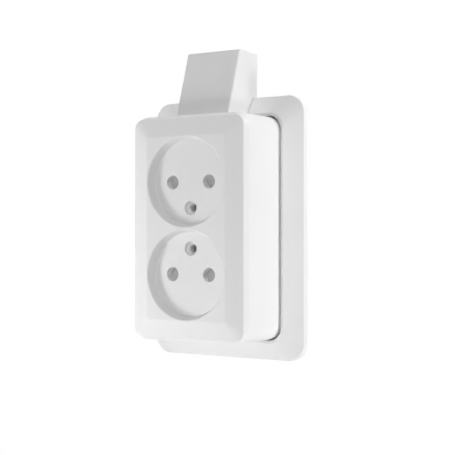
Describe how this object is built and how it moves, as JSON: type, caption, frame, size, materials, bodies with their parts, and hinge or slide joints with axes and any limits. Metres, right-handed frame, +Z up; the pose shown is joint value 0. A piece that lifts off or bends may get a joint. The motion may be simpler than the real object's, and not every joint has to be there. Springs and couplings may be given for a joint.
{
  "type": "raised double wall socket",
  "caption": "White raised wall socket with dished pin recesses, safety shutters, a bevelled cover frame and a cable cowl.",
  "frame": {"origin": "centre of the cover frame's back, on the wall", "axes": "+Z up, +Y into the wall, -Y out of the wall towards the plug, +X to the right as seen from the room"},
  "size_m": [0.08, 0.0397, 0.1407],
  "materials": {
    "cover_plastic": "satin white moulding with a very fine grain",
    "frame_plastic": "satin white moulding with a very fine grain",
    "cowl_plastic": "satin white moulding with a very fine grain",
    "plate_plastic": "plain light grey moulding",
    "base_plastic": "dark grey thermoset",
    "lid_plastic": "plain light grey moulding",
    "contact_brass": "stamped and turned brass",
    "screw_steel": "zinc plated steel",
    "spring_steel": "bright spring wire",
    "shutter_plastic": "white low friction moulding"
  },
  "bodies": {
    "socket": {"socket_cover": "cover_plastic", "cover_frame": "frame_plastic", "cable_cowl": "cowl_plastic", "wall_plate": "plate_plastic", "mechanism_base": "base_plastic", "mechanism_lid": "lid_plastic", "bus_bar_left": "contact_brass", "bus_bar_right": "contact_brass", "contact_upper_left": "contact_brass", "contact_upper_right": "contact_brass", "contact_lower_left": "contact_brass", "contact_lower_right": "contact_brass", "terminal_upper_left": "contact_brass", "terminal_upper_right": "contact_brass", "terminal_lower_left": "contact_brass", "terminal_lower_right": "contact_brass", "terminal_screws": "screw_steel", "shutter_spring_upper": "spring_steel", "shutter_spring_lower": "spring_steel", "cover_insert_upper": "contact_brass", "cover_insert_lower": "contact_brass", "mechanism_screws": "screw_steel", "lid_screws": "screw_steel", "cable_clamp": "plate_plastic", "clamp_screws": "screw_steel"},
    "upper_shutter": {"shutter_upper": "shutter_plastic"},
    "lower_shutter": {"shutter_lower": "shutter_plastic"}
  },
  "joints": [
    {"name": "shutter_upper_slide", "type": "slide", "parent": "socket", "child": "upper_shutter", "axis": [0, 0, 1], "range_m": [0, 0.0074], "stiffness_N_per_m": 60, "springref_m": -0.003, "deforming": ["shutter_spring_upper"]},
    {"name": "shutter_lower_slide", "type": "slide", "parent": "socket", "child": "lower_shutter", "axis": [0, 0, -1], "range_m": [0, 0.0074], "stiffness_N_per_m": 60, "springref_m": -0.003, "deforming": ["shutter_spring_lower"]}
  ]
}
